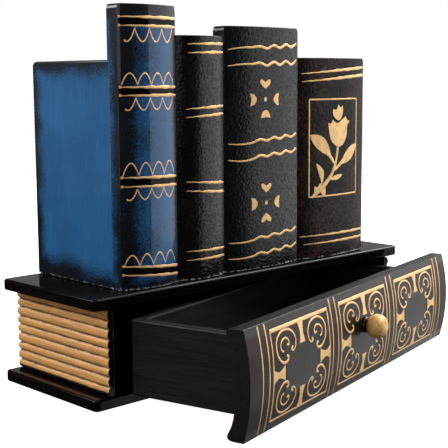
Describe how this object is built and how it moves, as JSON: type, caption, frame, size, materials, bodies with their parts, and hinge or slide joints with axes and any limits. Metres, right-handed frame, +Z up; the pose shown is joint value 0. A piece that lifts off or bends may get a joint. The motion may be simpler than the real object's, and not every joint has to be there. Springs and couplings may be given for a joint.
{
  "type": "book-shaped desk organiser",
  "caption": "Wooden desk organiser shaped like upright books, open behind for pens, standing on a lying book whose decorated spine is the front of a drawer.",
  "frame": {"origin": "centre of the bottom cover's underside, where the organiser rests on a table", "axes": "+Z up; +X along the row of upright books, from the tallest to the lowest; -Y is the side that the drawer comes out of"},
  "size_m": [0.2735, 0.1835, 0.2162],
  "materials": {
    "black_lacquer": "satin black-brown lacquer over wood",
    "page_gold": "matt old-gold paint with brown in the grooves",
    "blue_paint": "glossy blue paint shaded to black at its edges",
    "brown_paint": "pebbled dark brown paint, like leather",
    "green_paint": "pebbled black-green paint, like leather",
    "drawer_stain": "matt grey-black stain",
    "gold_paint": "satin gold paint",
    "steel": "zinc-plated",
    "beech": "bare"
  },
  "bodies": {
    "carcass": {"bottom_cover": "black_lacquer", "top_cover": "black_lacquer", "holder_back": "black_lacquer", "divider_1": "black_lacquer", "divider_2": "black_lacquer", "divider_3": "black_lacquer", "page_wall_left": "page_gold", "page_wall_right": "page_gold", "page_wall_back": "page_gold", "spine_blue": "blue_paint", "holder_left_side": "blue_paint", "spine_brown": "brown_paint", "spine_tulip": "brown_paint", "holder_right_side": "brown_paint", "spine_green": "green_paint", "holder_screw_1": "steel", "holder_screw_2": "steel", "holder_screw_3": "steel", "holder_screw_4": "steel"},
    "stop_pin": {"stop_pin": "beech"},
    "drawer": {"drawer_front": "drawer_stain", "drawer_inner_front": "drawer_stain", "drawer_left_side": "drawer_stain", "drawer_right_side": "drawer_stain", "drawer_back": "drawer_stain", "drawer_floor": "drawer_stain", "drawer_knob": "gold_paint", "knob_screw": "steel", "drawer_brad_1": "steel", "drawer_brad_2": "steel", "drawer_brad_3": "steel", "drawer_brad_4": "steel"}
  },
  "joints": [
    {"name": "drawer_skew", "type": "hinge", "parent": "carcass", "child": "stop_pin", "pos_m": [-0.0003, -0.036, 0], "axis": [0, 0, 1], "range_deg": [-14, 0]},
    {"name": "drawer_slide", "type": "slide", "parent": "stop_pin", "child": "drawer", "axis": [-0.2419, 0.9703, 0], "range_m": [0, 0.05175]}
  ],
  "couplings": [
    {"joint": "drawer_skew", "follows": "drawer_slide", "rad_per_m": -4.7216}
  ]
}
